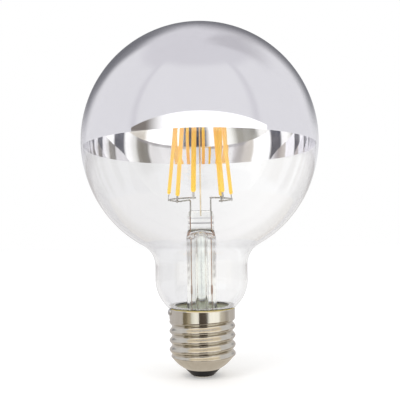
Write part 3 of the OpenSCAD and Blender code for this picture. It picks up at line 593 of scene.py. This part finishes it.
chip_black = coated("chip_black", (0.015, 0.015, 0.017), (0.035, 0.035, 0.038), 0.4, 0.65, 1200.0, 0.3)
driver_looks = {
    "driver_board": coated("board_green", (0.10, 0.26, 0.07), (0.18, 0.38, 0.12), 0.25, 0.45, 300.0, 0.1),
    "bridge_rectifier": chip_black,
    "driver_chip": chip_black,
    "chip_resistors": chip_black,
    "smoothing_capacitor": coated("capacitor_sleeve", (0.015, 0.02, 0.05), (0.03, 0.04, 0.09), 0.2, 0.35, 250.0, 0.05),
    "fusible_resistor": coated("resistor_lacquer", (0.08, 0.20, 0.14), (0.14, 0.30, 0.22), 0.3, 0.5, 400.0, 0.2),
    "side_input_lead": nickel,
    "centre_input_lead": nickel,
    "outer_lead_left": copper,
    "outer_lead_right": copper,
}
for node, look in driver_looks.items():
    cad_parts[node].data.materials.clear()
    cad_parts[node].data.materials.append(look)

# Studio: a pale floor under the cap's tip and white surroundings. Soft lights shape the pieces.
# The camera sees plain white. Mirrors, metal and glass see one room around the lamp: a white wall behind,
# a softly panelled ceiling, a low white board in front, and upright flags level with the cap.
floor = skin("floor", [[(-2.5, -2.5, -0.02 * mm), (2.5, -2.5, -0.02 * mm), (2.5, 2.5, -0.02 * mm), (-2.5, 2.5, -0.02 * mm)],
                       [(-2.5, -2.5, -10 * mm), (2.5, -2.5, -10 * mm), (2.5, 2.5, -10 * mm), (-2.5, 2.5, -10 * mm)]])
paper, tree, shader = material("paper", Roughness=0.9)
shader.inputs["Base Color"].default_value = (0.97, 0.97, 0.97, 1)
path = add(tree, "LightPath")
glow = add(tree, "MixRGB", {"Fac": path.outputs["Is Camera Ray"], "Color1": (0, 0, 0, 1), "Color2": (0.12, 0.12, 0.12, 1)})
tree.links.new(glow.outputs["Color"], shader.inputs["Emission Color"])
shader.inputs["Emission Strength"].default_value = 1.0
floor.data.materials.append(paper)
floor.visible_glossy = False
floor.visible_transmission = False

world = bpy.data.worlds.new("studio")
bpy.context.scene.world = world
world.use_nodes = True
tree = world.node_tree
backdrop = tree.nodes["Background"]
path = add(tree, "LightPath")
way = add(tree, "TexCoord")
parts = add(tree, "SeparateXYZ", {"Vector": way.outputs["Generated"]})


def sum_of(operation, first, second=0.0):
    """The output of one arithmetic node in the room's shader."""
    return add(tree, "Math", {0: first, 1: second}, operation=operation).outputs["Value"]


def between(value, low, high, edge):
    """A mask that is 1 between low and high and fades off over edge at both ends."""
    rise = add(tree, "MapRange", {"Value": value, "From Min": low - edge, "From Max": low + edge}, interpolation_type="SMOOTHSTEP")
    fall = add(tree, "MapRange", {"Value": value, "From Min": high - edge, "From Max": high + edge}, interpolation_type="SMOOTHSTEP")
    return sum_of("SUBTRACT", rise.outputs["Result"], fall.outputs["Result"])


def over(below, colour, mask, amount=1.0):
    """A colour laid over what is below it, through a mask."""
    return add(tree, "MixRGB", {"Fac": sum_of("MULTIPLY", mask, amount), "Color1": below, "Color2": colour}).outputs["Color"]


# Azimuth from the camera's side towards +X and elevation, both in degrees, and the same direction as a
# place on a flat board that stands in front.
azimuth = sum_of("MULTIPLY", sum_of("ARCTAN2", parts.outputs["X"], sum_of("MULTIPLY", parts.outputs["Y"], -1.0)), 57.2958)
elevation = sum_of("MULTIPLY", sum_of("ARCSINE", parts.outputs["Z"]), 57.2958)
facing = sum_of("MAXIMUM", sum_of("MULTIPLY", parts.outputs["Y"], -1.0), 0.001)
board_x = sum_of("DIVIDE", parts.outputs["X"], facing)
board_z = sum_of("DIVIDE", parts.outputs["Z"], facing)

# Ceiling and upper walls: pale lavender grey, with three soft panels, two dim corners and a dim far end.
ceiling = (0.69, 0.68, 0.715, 1)
panel = (0.79, 0.785, 0.81, 1)
seen = over(ceiling, panel, sum_of("MULTIPLY", between(azimuth, -60, 50, 4), between(elevation, 0, 64, 5)))
seen = over(seen, panel, sum_of("MULTIPLY", between(azimuth, 57, 158, 4), between(elevation, 0, 60, 5)), 0.9)
seen = over(seen, panel, sum_of("MULTIPLY", between(azimuth, -136, -66, 4), between(elevation, 0, 57, 5)), 0.85)
dusk = (0.40, 0.385, 0.415, 1)
seen = over(seen, dusk, sum_of("MULTIPLY", between(azimuth, 100, 156, 12), between(elevation, 50, 80, 9)), 0.45)
seen = over(seen, dusk, sum_of("MULTIPLY", between(azimuth, 142, 176, 9), between(elevation, 30, 58, 9)), 0.5)
seen = over(seen, (0.20, 0.20, 0.22, 1), sum_of("MULTIPLY", between(azimuth, -166, -134, 9), between(elevation, 24, 52, 9)), 0.85)

# Upright flags level with the cap: (azimuth, colour) at the middle of each.
flags = [(-158, (0.98, 0.98, 0.98)), (-146, (0.97, 0.96, 0.94)), (-72, (0.96, 0.95, 0.91)), (-66, (0.26, 0.25, 0.22)),
         (-44, (0.34, 0.32, 0.27)), (-37, (0.95, 0.95, 0.88)), (-24, (1.3, 1.3, 1.24)), (-12, (1.3, 1.3, 1.26)),
         (-6, (0.085, 0.088, 0.115)), (17, (0.08, 0.082, 0.105)), (23, (1.4, 1.4, 1.36)), (60, (1.4, 1.4, 1.36)),
         (65, (0.76, 0.71, 0.62)), (82, (0.66, 0.61, 0.54)), (90, (0.50, 0.46, 0.42)), (104, (0.58, 0.55, 0.53)),
         (112, (0.95, 0.94, 0.90)), (146, (0.97, 0.96, 0.94)), (158, (0.98, 0.98, 0.98))]
turn = add(tree, "MapRange", {"Value": azimuth, "From Min": -180.0, "From Max": 180.0})
upright = add(tree, "ValToRGB", {"Fac": turn.outputs["Result"]})
stops = upright.color_ramp.elements
while len(stops) < len(flags):
    stops.new(0.5)
for stop, (centre, colour) in zip(stops, flags):
    stop.position = (centre + 180) / 360
    stop.color = (*colour, 1)
seen = over(seen, upright.outputs["Color"], between(elevation, -32, 3, 3))

# White board in front, with a brownish shade across its left end, and the white floor below.
board = sum_of("MULTIPLY", between(board_x, -2.15, 2.05, 0.04), between(board_z, 0.03, 0.354, 0.012))
seen = over(seen, (1.3, 1.3, 1.3, 1), board)
shade_top = sum_of("SUBTRACT", board_z, sum_of("MULTIPLY", board_x, -0.13))
shade_mask = sum_of("MULTIPLY", between(board_x, -2.6, -0.85, 0.4), between(shade_top, -0.02, 0.5, 0.03))
seen = over(seen, (0.20, 0.175, 0.155, 1), sum_of("MULTIPLY", board, shade_mask), 0.97)
seen = over(seen, (0.98, 0.98, 0.98, 1), between(elevation, -95, -30, 4))

# A thin dim line runs round the room just above the flags, outside the board.
dim = sum_of("MULTIPLY", between(elevation, -4, 3, 1.5), between(azimuth, -40, 80, 3))
seen = over(seen, (0.40, 0.38, 0.38, 1), sum_of("SUBTRACT", between(elevation, -4, 3, 1.5), dim), 0.8)

# The wall behind is white, a little greyer on the left. Above it a dark zone draws the outline of the mirror.
low_wall = between(parts.outputs["Z"], -2, 0.140, 0.012)
behind = sum_of("ADD", sum_of("MULTIPLY", parts.outputs["Y"], 0.986), sum_of("MULTIPLY", parts.outputs["Z"], 0.165))
outline = sum_of("MULTIPLY", between(behind, 0.765, 2, 0.165), between(parts.outputs["Z"], 0.24, 2, 0.10))
seen = over(seen, (0.15, 0.15, 0.17, 1), outline, 0.92)
across = add(tree, "MapRange", {"Value": parts.outputs["X"], "From Min": -0.10, "From Max": 0.14}, interpolation_type="SMOOTHSTEP")
wall = add(tree, "MixRGB", {"Fac": across.outputs["Result"], "Color1": (0.84, 0.84, 0.85, 1), "Color2": (0.99, 0.99, 0.99, 1)})
seen = over(seen, wall.outputs["Color"], sum_of("MULTIPLY", between(parts.outputs["Y"], 0.94, 2, 0.03), low_wall))
lit = sum_of("MINIMUM", sum_of("ADD", path.outputs["Is Camera Ray"], path.outputs["Diffuse Depth"]), 1.0)
shown = over(seen, (1.0, 1.0, 1.0, 1), lit)
tree.links.new(shown, backdrop.inputs["Color"])
backdrop.inputs["Strength"].default_value = 1.0


def soft_light(name, place_at, aim, size, energy):
    """A large soft light that points at aim and is not itself seen in metal or glass."""
    lamp = bpy.data.objects.new(name, bpy.data.lights.new(name, "AREA"))
    lamp.data.shape, lamp.data.size, lamp.data.size_y, lamp.data.energy = "RECTANGLE", size[0], size[1], energy
    lamp.location = place_at
    lamp.rotation_mode = "QUATERNION"
    lamp.rotation_quaternion = (Vector(aim) - Vector(place_at)).to_track_quat("-Z", "Y")
    lamp.visible_glossy = False
    lamp.visible_transmission = False
    bpy.context.scene.collection.objects.link(lamp)


# Cards round the front, by azimuth and by a path of (distance, height) in mm. Only the metal of the cap sees them:
# pale, tan and sand ones lie on the floor, three darker ones also stand up, and a cream one hangs by the neck.
for name, first, last, path_of_card, colour in (
        ("pale_card", -180, 180, ((3, 0.3), (44, 0.3)), (0.66, 0.60, 0.53, 1)),
        ("tan_card", -68, -6, ((26, 0.6), (90, 0.6)), (0.16, 0.11, 0.07, 1)),
        ("sand_card", 18, 100, ((30, 0.6), (90, 0.6)), (0.30, 0.235, 0.155, 1)),
        ("rose_card_left", -166, -69, ((30, 0.5), (400, 0.5), (400, 90)), (0.63, 0.60, 0.60, 1)),
        ("rose_card_right", 106, 166, ((30, 0.5), (400, 0.5), (400, 90)), (0.62, 0.59, 0.58, 1)),
        ("brown_card", -68, -50, ((24, 0.8), (400, 0.8), (400, 90)), (0.22, 0.18, 0.11, 1)),
        ("olive_card", -50, -39, ((30, 0.8), (400, 0.8), (400, 90)), (0.50, 0.43, 0.31, 1)),
        ("black_card", -11, 18, ((24, 0.8), (400, 0.8), (400, 90)), (0.075, 0.055, 0.04, 1)),
        ("cream_card", -50, 62, ((46, 31), (46, 62)), (1.15, 1.02, 0.82, 1)),
        ("collar_card", -72, 78, ((46, 62.4), (25, 48.5)), (0.82, 0.72, 0.58, 1))):
    section = list(path_of_card) + [(r + 2, z - 0.2) for r, z in path_of_card[::-1]]
    card = skin(name, [[polar(r * mm, first + (last - first) * i / 20, z * mm) for r, z in section] for i in range(21)])
    paper_of_card = material(name, Base_Color=(0, 0, 0, 1), Roughness=1.0, Emission_Color=colour, Emission_Strength=1.0)[0]
    card.data.materials.append(paper_of_card)
    card.visible_camera = card.visible_diffuse = card.visible_transmission = card.visible_shadow = False

soft_light("key", (-0.5, -0.6, 0.7), (0, 0, 0.08), (0.4, 0.5), 2.0)
soft_light("fill", (0.6, -0.4, 0.4), (0, 0, 0.08), (0.4, 0.5), 1.0)
bpy.context.scene.view_settings.view_transform = "Standard"
bpy.context.scene.cycles.max_bounces = 32
bpy.context.scene.cycles.transmission_bounces = 24
bpy.context.scene.cycles.glossy_bounces = 16
